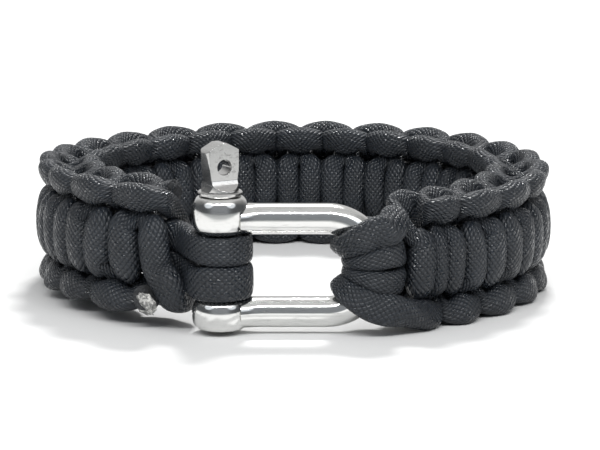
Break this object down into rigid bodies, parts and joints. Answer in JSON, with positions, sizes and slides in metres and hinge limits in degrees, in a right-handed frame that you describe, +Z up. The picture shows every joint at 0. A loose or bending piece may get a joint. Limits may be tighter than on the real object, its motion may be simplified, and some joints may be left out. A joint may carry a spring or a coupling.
{
  "type": "paracord bracelet",
  "caption": "Round wrist bracelet of thick cord tied in square knots, closed at the front by a steel bow shackle with a screw pin.",
  "frame": {"origin": "centre of the whole object's box, on the surface that the bracelet lies on", "axes": "+Z up along the axis of the wrist, -Y towards the shackle, +X towards the shackle's bow end"},
  "size_m": [0.0901, 0.09, 0.0318],
  "materials": {
    "steel": "polished stainless steel",
    "cord": "tightly braided nylon, black",
    "melted_end": "nylon melted at a cut, pale and rough"
  },
  "bodies": {
    "bracelet": {"shackle_bow": "steel", "upper_core": "cord", "lower_core": "cord", "pin_hitch": "cord", "upper_bow_hitch": "cord", "lower_bow_hitch": "cord", "outer_strand": "cord", "inner_strand": "cord", "lower_cut_end": "melted_end", "upper_cut_end": "melted_end"},
    "pin": {"shackle_pin": "steel"}
  },
  "joints": [
    {"name": "pin_draw", "type": "slide", "parent": "bracelet", "child": "pin", "axis": [0, 0, 1], "range_m": [0, 0.024]}
  ]
}
